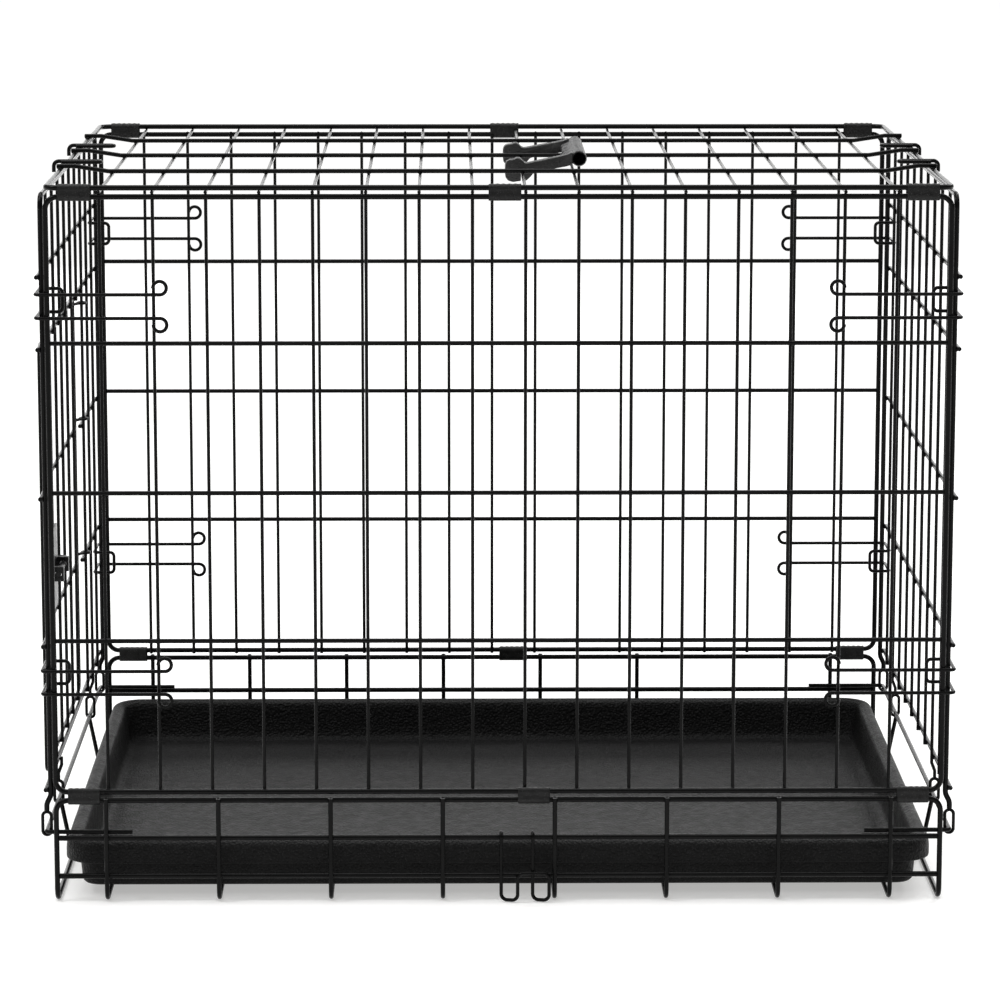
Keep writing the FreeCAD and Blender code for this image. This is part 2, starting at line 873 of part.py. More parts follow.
plate_face = door_uprights - grid_wire / 2 + size["plate_weld"]
plate_start = bolt_tip + size["plate_inset"]
bore = bolt_wire / 2 + size["guide_bore_gap"]
guide_in = bolt_plane - bore - size["plate_wall"]
plate = block(
    (-plate_face, plate_start, bolt_level - size["plate_height"] / 2),
    (size["plate_wall"], size["plate_length"], size["plate_height"]),
)
guide_starts = (plate_start, plate_start + size["plate_length"] - size["guide_wall"])
guides = [
    block(
        (-plate_face, start, bolt_level - size["guide_height"] / 2),
        (plate_face - guide_in, size["guide_wall"], size["guide_height"]),
    )
    for start in guide_starts
]
channel = rod(
    "Y",
    (-bolt_plane, plate_start - OVERRUN, bolt_level),
    size["plate_length"] + OVERRUN * 2,
    bore * 2,
)
node("bolt_plate", [without(union([plate] + guides, "guide_plate"), channel, "bored_plate")])


# ---------------------------------------------------------------- pan

def rounded_box(label, half_x, half_y, low, high, corner):
    """An upright box with rounded vertical edges, as a padded sketch in a body of its own."""
    body = doc.addObject("PartDesign::Body", label)
    plane = next(f for f in body.Origin.OriginFeatures if f.Role == "XY_Plane")
    sketch = body.newObject("Sketcher::SketchObject", f"{label}_outline")
    sketch.AttachmentSupport = (plane, [""])
    sketch.MapMode = "FlatFace"
    sketch.setExpression("AttachmentOffset.Base.z", low.formula)
    x, y, r = float(half_x), float(half_y), float(corner)
    quarter = math.pi / 2
    corners = ((x - r, y - r, 0), (r - x, y - r, 1), (r - x, r - y, 2), (x - r, r - y, 3))
    for cx, cy, turn in corners:
        circle = Part.Circle(Vector(cx, cy, 0), Vector(0, 0, 1), r)
        sketch.addGeometry(Part.ArcOfCircle(circle, turn * quarter, (turn + 1) * quarter))
    edges = (((x - r, y), (r - x, y)), ((-x, y - r), (-x, r - y)),
             ((r - x, -y), (x - r, -y)), ((x, r - y), (x, y - r)))
    for (ax, ay), (bx, by) in edges:
        sketch.addGeometry(Part.LineSegment(Vector(ax, ay, 0), Vector(bx, by, 0)))
    for turn in range(4):
        sketch.addConstraint(Sketcher.Constraint("Tangent", turn, 2, 4 + turn, 1))
        sketch.addConstraint(Sketcher.Constraint("Tangent", 4 + turn, 2, (turn + 1) % 4, 1))
    sketch.addConstraint(Sketcher.Constraint("Horizontal", 4))
    sketch.addConstraint(Sketcher.Constraint("Equal", 0, 1))
    sketch.addConstraint(Sketcher.Constraint("Equal", 0, 2))
    sketch.addConstraint(Sketcher.Constraint("Symmetric", 0, 3, 2, 3, -1, 1))
    sketch.addConstraint(Sketcher.Constraint("Radius", 0, r))
    sketch.renameConstraint(sketch.ConstraintCount - 1, "corner")
    sketch.setExpression("Constraints.corner", corner.formula)
    sketch.addConstraint(Sketcher.Constraint("DistanceX", 5, 1, 7, 2, 2 * x))
    sketch.renameConstraint(sketch.ConstraintCount - 1, "length_x")
    sketch.setExpression("Constraints.length_x", (half_x * 2).formula)
    sketch.addConstraint(Sketcher.Constraint("DistanceY", 6, 1, 4, 1, 2 * y))
    sketch.renameConstraint(sketch.ConstraintCount - 1, "width_y")
    sketch.setExpression("Constraints.width_y", (half_y * 2).formula)
    pad = body.newObject("PartDesign::Pad", f"{label}_pad")
    pad.Profile = sketch
    pad.setExpression("Length", (high - low).formula)
    return body, pad


def tapered_box(label, half_x, half_y, low, high, corner):
    """The same box, growing upwards by the pan's draft."""
    body, pad = rounded_box(label, half_x, half_y, low, high, corner)
    pad.setExpression("TaperAngle", "Sizes.pan_draft")
    return body


pan_low = runner_level + rod_wire / 2 + size["pan_rest_gap"]
pan_top = size["pan_top"]
pan_wall = size["pan_wall"]
rim_x = frame_end - size["pan_end_gap"]
rim_y = side - size["pan_side_gap"]
spread_up = Size(math.tan(math.radians(float(size["pan_draft"]))), "tan(Sizes.pan_draft * 1deg)")
draft_x = rim_x - size["pan_rim"] - (pan_top - pan_low) * spread_up
draft_y = rim_y - size["pan_rim"] - (pan_top - pan_low) * spread_up
corner = size["pan_corner"]

tub = tapered_box("pan_tub", draft_x, draft_y, pan_low, pan_top, corner)
hollow_low = pan_low + pan_wall
hollow = tapered_box(
    "pan_hollow",
    draft_x - pan_wall + pan_wall * spread_up,
    draft_y - pan_wall + pan_wall * spread_up,
    hollow_low,
    pan_top + OVERRUN,
    corner - pan_wall,
)
skirt, _ = rounded_box("pan_skirt", rim_x, rim_y, pan_top - size["pan_skirt"], pan_top, corner)
skirt_hollow, _ = rounded_box(
    "pan_skirt_hollow",
    rim_x - pan_wall,
    rim_y - pan_wall,
    pan_top - size["pan_skirt"] - OVERRUN,
    pan_top - pan_wall,
    corner - pan_wall,
)
doc.recompute()
shell = without(skirt, skirt_hollow, "pan_rim_shell")
tray = without(union([shell, tub], "pan_solid"), hollow, "pan_tray")
node("pan", [tray])


# ---------------------------------------------------------------- carry handle

handle_x = spread(frame_end, front_pitch, (FRONT_BAYS + 1) // 2)
grip_x = handle_x + size["handle_reach"]
grip_level = roof_bars_low + bar_wire / 2 + size["grip_rest_gap"] + size["grip_outer"] / 2
handle_start = size["handle_place"] - size["handle_length"] / 2

grip_rod = rod("Y", (grip_x, handle_start, grip_level), size["handle_length"], size["grip_outer"])
grip_bore = rod(
    "Y",
    (grip_x, handle_start - OVERRUN, grip_level),
    size["handle_length"] + OVERRUN * 2,
    size["grip_bore"],
)
node("handle_grip", [without(grip_rod, grip_bore, "grip_tube")])

claw_bore = grid_wire + size["claw_clearance"] * 2
through = size["arm_wall"] + OVERRUN * 2
claws = []
arm_starts = (handle_start, handle_start + size["handle_length"] - size["arm_wall"])
for start in arm_starts:
    claw = rod("Y", (handle_x, start, roof_cross), size["arm_wall"], size["claw_outer"])
    foot = Vector(float(handle_x), float(start), float(roof_cross))
    rise = math.degrees(math.atan2(float(grip_level - roof_cross), float(size["handle_reach"])))
    arm_length = math.hypot(float(size["handle_reach"]), float(grip_level - roof_cross))
    arm = doc.addObject("Part::Box", "arm")
    arm.Length = arm_length
    bind(arm, "Width", size["arm_wall"])
    bind(arm, "Height", size["arm_height"])
    tilt = Rotation(Vector(0, 1, 0), -rise)
    arm.Placement = Placement(foot + tilt.multVec(Vector(0, 0, -float(size["arm_height"]) / 2)), tilt)
    eye = rod("Y", (handle_x, start - OVERRUN, roof_cross), through, claw_bore)
    mouth = block(
        (handle_x - size["claw_mouth"] / 2, start - OVERRUN, roof_cross - size["claw_outer"]),
        (size["claw_mouth"], through, size["claw_outer"]),
    )
    seat = rod("Y", (grip_x, start - OVERRUN, grip_level), through, size["grip_outer"])
    heel = block(
        (handle_x - size["heel_length"], start, roof_cross - size["heel_low"]),
        (size["heel_length"], size["arm_wall"], size["heel_low"] + size["heel_high"]),
    )
    whole = union([claw, arm, heel], "claw_and_arm")
    claws.append(without(whole, union([eye, mouth, seat], "claw_openings"), "handle_arm"))
node("handle_arms", claws)


# ---------------------------------------------------------------- fold latch

eye_radius = frame_wire / 2 + size["latch_clearance"] + catch_wire / 2
latch_face = -side - eye_radius
mid = size["base_mid_wire"]
left, right = size["latch_left"], size["latch_right"]
finger = size["latch_finger"]
front = latch_face - size["latch_step"]
foot, bridge = size["latch_foot"], size["latch_bridge"]
latch_pieces = bent_wire(
    [
        (left, latch_face, mid),
        (left, latch_face, foot),
        (left + finger, front, foot),
        (left + finger, front, bridge),
        (right + finger, front, bridge),
        (right + finger, front, foot),
        (right, latch_face, foot),
        (right, latch_face, mid),
    ],
    size["latch_bend"],
    catch_wire,
)
for along in (left, right):
    centre = Vector(float(along), -float(side), float(mid))
    latch_pieces.append(
        arc(centre, Vector(0, -1, 0), Vector(0, 0, 1), eye_radius, catch_wire, 270.0)
    )
node("fold_latch", latch_pieces)


# ---------------------------------------------------------------- checks and export

doc.recompute()
for item in doc.Objects:
    faults = {"Invalid", "Error"} & set(item.State)
    if faults:
        raise RuntimeError(f"{item.Name} ({item.Label}): {faults}")
for item in nodes:
    shape = item.Shape
    if shape.isNull() or not shape.isValid() or not shape.Solids:
        raise RuntimeError(f"{item.Label} has no valid solid")

os.makedirs("parts", exist_ok=True)
for item in nodes:
    item.Shape.exportStep(f"parts/{item.Label}.step")
    print(item.Label, len(item.Shape.Solids), round(item.Shape.Volume, 1))
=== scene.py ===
"""Looks of the folding wire dog crate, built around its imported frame."""

import json
import math

import bmesh
import bpy
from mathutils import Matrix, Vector


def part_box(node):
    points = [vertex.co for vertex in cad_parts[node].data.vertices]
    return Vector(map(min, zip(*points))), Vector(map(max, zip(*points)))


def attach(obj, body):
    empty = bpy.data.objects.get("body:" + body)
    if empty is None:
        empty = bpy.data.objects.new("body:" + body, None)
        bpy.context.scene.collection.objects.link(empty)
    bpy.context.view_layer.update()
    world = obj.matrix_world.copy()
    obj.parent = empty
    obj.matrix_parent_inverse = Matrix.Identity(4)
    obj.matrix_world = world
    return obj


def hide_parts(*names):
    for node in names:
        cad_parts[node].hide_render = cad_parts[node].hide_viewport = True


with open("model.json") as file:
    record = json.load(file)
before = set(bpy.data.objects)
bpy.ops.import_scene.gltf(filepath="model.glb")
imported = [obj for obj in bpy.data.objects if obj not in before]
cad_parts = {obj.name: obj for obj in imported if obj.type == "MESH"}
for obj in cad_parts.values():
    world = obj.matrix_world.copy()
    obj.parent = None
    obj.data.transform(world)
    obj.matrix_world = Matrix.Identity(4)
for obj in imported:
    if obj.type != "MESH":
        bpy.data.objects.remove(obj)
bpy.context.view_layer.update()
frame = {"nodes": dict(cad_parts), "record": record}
nodes = frame["nodes"]

# ---------------------------------------------------------------- materials
# Texture scales are cells per metre, and bump distances are metres.


class Shader:
    """A small helper that builds one node material, with every texture in object space."""

    def __init__(self, name):
        self.material = bpy.data.materials.new(name)
        self.material.use_nodes = True
        self.tree = self.material.node_tree
        self.surface = self.tree.nodes["Principled BSDF"]
        self.coords = self.tree.nodes.new("ShaderNodeTexCoord")

    def noise(self, scale, detail=4.0, roughness=0.55):
        item = self.tree.nodes.new("ShaderNodeTexNoise")
        item.inputs["Scale"].default_value = scale
        item.inputs["Detail"].default_value = detail
        item.inputs["Roughness"].default_value = roughness
        self.tree.links.new(self.coords.outputs["Object"], item.inputs["Vector"])
        return item.outputs["Fac"]

    def cells(self, scale):
        item = self.tree.nodes.new("ShaderNodeTexVoronoi")
        item.inputs["Scale"].default_value = scale
        self.tree.links.new(self.coords.outputs["Object"], item.inputs["Vector"])
        return item.outputs["Distance"]

    def ramp(self, value, stops):
        """Maps a value through (place, grey or colour) stops."""
        item = self.tree.nodes.new("ShaderNodeValToRGB")
        band = item.color_ramp
        while len(band.elements) < len(stops):
            band.elements.new(0.5)
        for element, (place, colour) in zip(band.elements, stops):
            element.position = place
            if not isinstance(colour, tuple):
                colour = (colour, colour, colour)
            element.color = (*colour, 1.0)
        self.tree.links.new(value, item.inputs["Fac"])
        return item.outputs["Color"]

    def feed(self, socket, value):
        """Links a node's output to a socket, or sets a constant on it."""
        if isinstance(value, bpy.types.NodeSocket):
            self.tree.links.new(value, socket)
        elif isinstance(value, tuple):
            socket.default_value = (*value, 1.0)
        else:
            socket.default_value = value

    def mix(self, factor, first, second):
        item = self.tree.nodes.new("ShaderNodeMix")
        item.data_type = "RGBA"
        factor_socket, first_socket, second_socket = (item.inputs[i] for i in (0, 6, 7))
        self.feed(factor_socket, factor)
        self.feed(first_socket, first)
        self.feed(second_socket, second)
        return item.outputs[2]

    def scaled(self, value, factor):
        item = self.tree.nodes.new("ShaderNodeMath")
        item.operation = "MULTIPLY"
        self.feed(item.inputs[0], value)
        self.feed(item.inputs[1], factor)
        return item.outputs[0]

    def edges(self):
        item = self.tree.nodes.new("ShaderNodeNewGeometry")
        return item.outputs["Pointiness"]

    def drive(self, socket, value):
        self.tree.links.new(value, self.surface.inputs[socket])

    def fix(self, **values):
        """Sets constants on the surface's sockets, such as specular_ior_level."""
        for name, value in values.items():
            socket = name.replace("_", " ").title().replace("Ior", "IOR")
            self.surface.inputs[socket].default_value = value

    def bump(self, height, distance, strength=1.0, under=None):
        item = self.tree.nodes.new("ShaderNodeBump")
        item.inputs["Strength"].default_value = strength
        item.inputs["Distance"].default_value = distance
        self.tree.links.new(height, item.inputs["Height"])
        if under is not None:
            self.tree.links.new(under, item.inputs["Normal"])
        return item.outputs["Normal"]


def wire_coat():
    """Satin black electro-coat on drawn wire: faint orange peel, dust and a few rubbed spots."""
    s = Shader("black_wire_coat")
    tone = s.ramp(s.noise(55.0), ((0.3, 0.0016), (0.7, 0.0040)))
    rubbed = s.ramp(s.noise(420.0, 6.0, 0.7), ((0.70, 0.0), (0.78, 1.0)))
    s.drive("Base Color", s.mix(s.scaled(rubbed, 0.3), tone, (0.030, 0.029, 0.027)))
    s.drive("Roughness", s.ramp(s.noise(230.0, 5.0), ((0.3, 0.20), (0.72, 0.30))))
    s.fix(specular_ior_level=0.10)
    peel = s.bump(s.noise(900.0, 3.0), 0.00005, 0.4)
    s.drive("Normal", s.bump(s.noise(2600.0, 2.0), 0.00003, 0.4, peel))
    return s.material


def clip_coat():
    """Textured black powder coat on folded sheet steel."""
    s = Shader("clip_coat")
    tone = s.ramp(s.noise(160.0), ((0.3, 0.0022), (0.7, 0.0060)))
    specks = s.ramp(s.cells(900.0), ((0.08, 1.0), (0.20, 0.0)))
    s.drive("Base Color", s.mix(s.scaled(specks, 0.5), tone, (0.16, 0.16, 0.16)))
    s.drive("Roughness", s.ramp(s.noise(700.0), ((0.3, 0.30), (0.7, 0.55))))
    s.fix(specular_ior_level=0.25)
    grain = s.bump(s.noise(1100.0, 4.0, 0.7), 0.00040, 0.9)
    s.drive("Normal", s.bump(s.noise(420.0, 2.0), 0.0004, 0.45, grain))
    return s.material


def latch_coat():
    """The bolt's coat: the wire's satin black, rubbed along the sliding surfaces."""
    s = Shader("latch_coat")
    tone = s.ramp(s.noise(70.0), ((0.3, 0.0030), (0.7, 0.0065)))
    rubbed = s.ramp(s.noise(260.0, 7.0, 0.75), ((0.6, 0.0), (0.7, 1.0)))
    s.drive("Base Color", s.mix(s.scaled(rubbed, 0.4), tone, (0.07, 0.067, 0.064)))
    s.drive("Roughness", s.ramp(s.noise(300.0), ((0.3, 0.22), (0.7, 0.38))))
    s.fix(specular_ior_level=0.25)
    s.drive("Normal", s.bump(s.noise(1100.0, 3.0), 0.00006, 0.5))
    return s.material


def pan_plastic():
    """Thermoformed black sheet with a leather-like grain, painted highlight flecks on the grain, and
    dusty, scuffed high spots.
    """
    s = Shader("pan_plastic_grain")
    cloud = s.noise(9.0, 5.0)
    tone = s.ramp(cloud, ((0.3, 0.0030), (0.7, 0.0065)))
    grain = s.cells(620.0)
    # painted highlight: pale flecks at the grain's cells stand in for glints on the grain
    painted_grain_glint = s.ramp(grain, ((0.10, 1.0), (0.36, 0.0)))
    tone = s.mix(s.scaled(painted_grain_glint, 0.6), tone, (0.030, 0.030, 0.031))
    scuff = s.ramp(s.noise(60.0, 8.0, 0.72), ((0.56, 0.0), (0.76, 1.0)))
    s.drive("Base Color", s.mix(s.scaled(scuff, 0.3), tone, (0.026, 0.025, 0.024)))
    s.drive("Roughness", s.ramp(s.noise(140.0), ((0.3, 0.40), (0.7, 0.55))))
    s.fix(specular_ior_level=0.14)
    coarse = s.bump(grain, 0.0011, 0.75)
    s.drive("Normal", s.bump(s.noise(1300.0, 4.0, 0.7), 0.00045, 0.7, coarse))
    return s.material


def handle_plastic():
    """Moulded black plastic with a fine spark-eroded texture, and paler convex edges: partly rubbed
    wear, partly a painted highlight.
    """
    s = Shader("handle_plastic_mould")
    tone = s.ramp(s.noise(120.0), ((0.3, 0.0032), (0.7, 0.0080)))
    # paler colour on the convex edges: partly rubbed wear, partly a painted highlight
    wear_and_edge_highlight = s.ramp(s.edges(), ((0.51, 0.0), (0.57, 1.0)))
    s.drive("Base Color", s.mix(s.scaled(wear_and_edge_highlight, 0.6), tone, (0.10, 0.10, 0.10)))
    s.drive("Roughness", s.ramp(s.noise(500.0), ((0.3, 0.34), (0.7, 0.48))))
    s.fix(specular_ior_level=0.25)
    pebble = s.bump(s.cells(800.0), 0.0007, 0.8)
    s.drive("Normal", s.bump(s.noise(2100.0, 4.0, 0.7), 0.00022, 0.6, pebble))
    return s.material


coats = {
    "black_wire": wire_coat(),
    "clip_steel": clip_coat(),
    "latch_steel": latch_coat(),
    "pan_plastic": pan_plastic(),
    "handle_plastic": handle_plastic(),
}
slot_of = {row["node"]: row["material_slot"] for row in frame["record"]["subparts"]}
for name, node in nodes.items():
    node.data.materials.clear()
    node.data.materials.append(coats[slot_of[name]])

# ---------------------------------------------------------------- mesh helpers

MM = 0.001
PLACE_DECIMALS = 6         # vertices that agree to a thousandth of a millimetre are at one place


def piece(name, mesh, body, slot, smooth=True):
    """Adds one visual piece that rides on a CAD body and takes a slot's finish."""
    item = bpy.data.objects.new(name, mesh)
    bpy.context.scene.collection.objects.link(item)
    mesh.materials.append(coats[slot])
    for face in mesh.polygons:
        face.use_smooth = smooth
    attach(item, body)
    return item


def mesh_of(name, verts, faces):
    mesh = bpy.data.meshes.new(name)
    mesh.from_pydata([tuple(v) for v in verts], [], faces)
    mesh.update()
    return mesh


def strip(faces, first, second, sides, flip=False):
    """Quads between two closed rings, given by their first vertices; flip turns the quads over."""
    for side in range(sides):
        nxt = (side + 1) % sides
        if flip:
            faces.append((first + side, first + nxt, second + nxt, second + side))
        else:
            faces.append((first + side, second + side, second + nxt, first + nxt))


def bevel(item, width, angle=35.0):
    """Rounds the edges that are sharper than an angle in degrees."""
    modifier = item.modifiers.new("bevel", "BEVEL")
    modifier.width = width
    modifier.segments = 3
    modifier.limit_method = "ANGLE"
    modifier.angle_limit = math.radians(angle)
    modifier.harden_normals = True


def islands(name, joined=True):
    """The box of every separate solid in a CAD node, or of every separate surface if not joined."""
    mesh = nodes[name].data
    parent = list(range(len(mesh.vertices)))

    def root(i):
        while parent[i] != i:
            parent[i] = parent[parent[i]]
            i = parent[i]
        return i

    if joined:
        first_at = {}
        for vertex in mesh.vertices:
            place = tuple(round(c, PLACE_DECIMALS) for c in vertex.co)
            first_at.setdefault(place, vertex.index)
            parent[root(vertex.index)] = root(first_at[place])
    for edge in mesh.edges:
        a, b = (root(i) for i in edge.vertices)
        parent[a] = b
    boxes = {}
    for vertex in mesh.vertices:
        low, high = boxes.setdefault(root(vertex.index), (list(vertex.co), list(vertex.co)))
        for axis in range(3):
            low[axis] = min(low[axis], vertex.co[axis])
            high[axis] = max(high[axis], vertex.co[axis])
    return [(Vector(low), Vector(high)) for low, high in boxes.values()]


# ---------------------------------------------------------------- welds and cut wire ends

LEAST_RUN = 10.0 * MM      # a straight run is longer than this
THIN, THICK = 1.8 * MM, 4.2 * MM
ROUND_WITHIN = 0.4 * MM    # a wire's two widths differ by less than this
WELD_GAP = 0.3 * MM        # wires closer than this are welded
WELD_SPREAD = 1.35         # a weld along each wire, in radii of the other one
WELD_HEIGHT = 0.62         # a weld's depth, in radii of the thinner wire
OPEN_END = 1.0 * MM        # an open end lies this near its node's end
END_WIDTH = 0.985          # an end's dome, in radii of its wire
END_BULGE = 0.32           # how far a dome stands out, in radii
LOW_END_BULGE = 0.06       # the same where a hinge rod's stub passes close by


def runs(name):
    """Straight axis-aligned wires of a node: (axis, centre line point, low end, high end, radius)."""
    found = []
    for low, high in islands(name, joined=False):
        extent = high - low
        axis = max(range(3), key=lambda i: extent[i])
        across = [extent[i] for i in range(3) if i != axis]
        wire = THIN < min(across) and max(across) < THICK and max(across) - min(across) < ROUND_WITHIN
        if wire and extent[axis] > LEAST_RUN:
            found.append((axis, (low + high) / 2, low[axis], high[axis], sum(across) / 4))
    return found


def blob(verts, faces, centre, radii, rings=5, sides=10):
    """A small flattened ball, added to shared lists: rings round Z, and a vertex at each pole."""
    first = len(verts)
    for i in range(1, rings):
        tilt = math.pi * i / rings
        for j in range(sides):
            turn = 2 * math.pi * j / sides
            spot = (math.sin(tilt) * math.cos(turn), math.sin(tilt) * math.sin(turn), math.cos(tilt))
            verts.append(centre + Vector(c * r for c, r in zip(spot, radii)))
    top, bottom = len(verts), len(verts) + 1
    verts.append(centre + Vector((0, 0, radii[2])))
    verts.append(centre - Vector((0, 0, radii[2])))
    last = first + (rings - 2) * sides
    for j in range(sides):
        k = (j + 1) % sides
        faces.append((top, first + j, first + k))
        faces.append((bottom, last + k, last + j))
        for i in range(rings - 2):
            a, b = first + i * sides, first + (i + 1) * sides
            faces.append((a + j, b + j, b + k, a + k))


def welds(name, body, groups):
    """Squeezed-out metal where wires cross and are resistance-welded."""
    verts, faces = [], []
    for first_node, second_node in groups:
        for axis_a, mid_a, low_a, high_a, r_a in runs(first_node):
            for axis_b, mid_b, low_b, high_b, r_b in runs(second_node):
                if axis_a == axis_b:
                    continue
                depth_axis = 3 - axis_a - axis_b
                gap = abs(mid_a[depth_axis] - mid_b[depth_axis]) - r_a - r_b
                spot = Vector((0, 0, 0))
                spot[axis_a], spot[axis_b] = mid_b[axis_a], mid_a[axis_b]
                on_first = low_a - r_b < spot[axis_a] < high_a + r_b
                on_second = low_b - r_a < spot[axis_b] < high_b + r_a
                if gap > WELD_GAP or not on_first or not on_second:
                    continue
                toward = 1 if mid_b[depth_axis] > mid_a[depth_axis] else -1
                spot[depth_axis] = mid_a[depth_axis] + toward * r_a
                radii = [0, 0, 0]
                radii[axis_a] = r_b * WELD_SPREAD
                radii[axis_b] = r_a * WELD_SPREAD
                radii[depth_axis] = min(r_a, r_b) * WELD_HEIGHT
                blob(verts, faces, spot, radii)
    piece(name, mesh_of(name, verts, faces), body, "black_wire")


def cut_ends(name, body, source, bulge):
    """Slightly domed, deburred ends on a node's wires that end in the open."""
    verts, faces = [], []
    node_low, node_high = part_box(source)
    for axis, middle, low, high, radius in runs(source):
        for end in (low, high):
            if min(abs(end - node_low[axis]), abs(end - node_high[axis])) > OPEN_END:
                continue
            spot = middle.copy()
            spot[axis] = end
            radii = [radius * END_WIDTH] * 3
            radii[axis] = radius * bulge
            blob(verts, faces, spot, radii, rings=8, sides=16)
    piece(name, mesh_of(name, verts, faces), body, "black_wire")


for side_name in ("front", "back"):
    upright_node = f"{side_name}_uprights"
    welds(f"{side_name}_panel_welds", "crate", [
        (upright_node, f"{side_name}_bars"),
        (upright_node, f"{side_name}_frame"),
        (f"{side_name}_catches", upright_node),
    ])
welds("roof_welds", "crate", [
    ("roof_cross_wires", "roof_long_wires"),
    ("roof_long_wires", "roof_frame"),
    ("left_roof_hooks", "roof_frame"),
    ("right_roof_hooks", "roof_frame"),
])
welds("base_welds", "crate", [
    ("base_cross_wires", "base_frame"),
    ("base_cross_wires", "base_front_long_wires"),
    ("base_cross_wires", "base_back_long_wires"),
    ("base_cross_wires", "base_floor_runners"),
])
for end_name in ("left_end", "right_end"):
    bar_node = f"{end_name}_bars"
    welds(f"{end_name}_welds", end_name, [
        (f"{end_name}_uprights", bar_node),
        (f"{end_name}_frame", bar_node),
    ])
    cut_ends(f"{end_name}_bar_ends", end_name, bar_node, LOW_END_BULGE)
welds("door_welds", "door", [("door_uprights", "door_frame"), ("door_uprights", "door_bars")])
cut_ends("roof_wire_ends", "crate", "roof_long_wires", END_BULGE)

# ---------------------------------------------------------------- hinge clips

CLIP_SIDES = 56
CLIP_RINGS = 30
CLIP_WALL = 0.9 * MM
WALL_SHOWN = 0.85          # the sheet's wall inside the clip, as a share, clear of the wires
ROLL_FROM = 0.93           # the ends roll in from here, as a share of half the length
ROLL_DEPTH = 0.16 * MM
CRIMPS = (-0.45, 0.45)     # the two crimps along the clip, in halves of its length
CRIMP_WIDTH = 0.16
FLATTEN = 0.35             # below 1 the sides run straight between the wires
TEETH_FROM = 0.86          # the toothed top starts at this sine round the section
TEETH_DEPTH = 0.30 * MM
TEETH_PITCH = 0.62 * MM    # a tooth's length over two pi
WAIST_HEIGHT = 0.62        # the waist between the wires, as a share of their half pitch
WAIST_DEPTH = 0.10         # how far the waist draws in, as a share of the depth
CRIMP_DEPTH = 0.16         # how much further it does at a crimp
LAP = 0.22 * MM            # the sheet's lap stands out on the inner side
LAP_BELOW = 0.25           # its edge lies this far under the clip's middle, in half pitches


def clip_mesh(verts, faces, low, high, inward):
    """A folded sheet sleeve round two wires: pinched waist, two crimps, a lap and rolled ends."""
    centre = (low + high) / 2
    half = (high - low) / 2
    pitch = half.z - half.y
    outer, inner = [], []
    for ring in range(CLIP_RINGS + 1):
        along = -1 + 2 * ring / CLIP_RINGS
        end_roll = max(0.0, abs(along) - ROLL_FROM) / (1 - ROLL_FROM)
        crimp = sum(math.exp(-(((along - at) / CRIMP_WIDTH) ** 2)) for at in CRIMPS)
        for surface, shrink in ((outer, 0.0), (inner, CLIP_WALL * WALL_SHOWN)):
            first = len(verts)
            for side in range(CLIP_SIDES):
                turn = 2 * math.pi * side / CLIP_SIDES
                y, z = math.cos(turn), math.sin(turn)
                radius = half.y - shrink - end_roll * ROLL_DEPTH * (-1 if shrink else 1)
                bulge = abs(z) ** FLATTEN * math.copysign(1, z)
                height = z * radius + bulge * pitch
                teeth = max(0.0, z - TEETH_FROM) / (1 - TEETH_FROM) * TEETH_DEPTH
                height -= teeth * (0.5 + 0.5 * math.sin(along * half.x / TEETH_PITCH))
                waist = math.exp(-((height / (pitch * WAIST_HEIGHT)) ** 2))
                depth = y * radius * (1 - waist * (WAIST_DEPTH + CRIMP_DEPTH * crimp))
                if inward * y < 0 and height < -pitch * LAP_BELOW and not shrink:
                    depth -= inward * LAP
                verts.append(centre + Vector((along * half.x, depth, height)))
            surface.append(first)
    for ring in range(CLIP_RINGS):
        strip(faces, outer[ring], outer[ring + 1], CLIP_SIDES)
        strip(faces, inner[ring], inner[ring + 1], CLIP_SIDES, flip=True)
    strip(faces, outer[0], inner[0], CLIP_SIDES, flip=True)
    strip(faces, inner[-1], outer[-1], CLIP_SIDES, flip=True)


for side_name, inward in (("front", 1), ("back", -1)):
    for level_name in ("base", "roof"):
        source = f"{side_name}_{level_name}_hinge_clips"
        verts, faces = [], []
        for low, high in islands(source):
            clip_mesh(verts, faces, low, high, inward)
        name = f"{side_name}_{level_name}_clips_folded"
        formed = piece(name, mesh_of(source, verts, faces), "crate", "clip_steel")
        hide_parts(source)

# ---------------------------------------------------------------- pan

CORNER_STEPS = 12
EDGE_STEPS = 6
PAN_CORNER = 22.0          # millimetres, as the pan's other sizes are
PAN_SHEET = 2.5            # from the underside to the channel round the floor
CORNER_TIGHTENING = 0.85   # how fast the corners tighten inward
LEAST_CORNER = 3.0
MIDDLE_INSET = 90.0        # the flat middle is one face from here
MIDDLE_CORNER = 30.0


def rounded_ring(half_x, half_y, radius, level):
    """Points of a rounded rectangle at one level, anticlockwise from above."""
    points = []
    quarters = ((1, 1), (-1, 1), (-1, -1), (1, -1))
    for turn, (sx, sy) in enumerate(quarters):
        cx, cy = sx * (half_x - radius), sy * (half_y - radius)
        for step in range(CORNER_STEPS + 1):
            angle = math.pi / 2 * (turn + step / CORNER_STEPS)
            points.append(Vector((cx + radius * math.cos(angle), cy + radius * math.sin(angle), level)))
        nx, ny = quarters[(turn + 1) % 4]
        start = points[-1]
        if turn % 2 == 0:
            finish = Vector((nx * (half_x - radius), start.y, level))
        else:
            finish = Vector((start.x, ny * (half_y - radius), level))
        for step in range(1, EDGE_STEPS):
            points.append(start.lerp(finish, step / EDGE_STEPS))
    return points


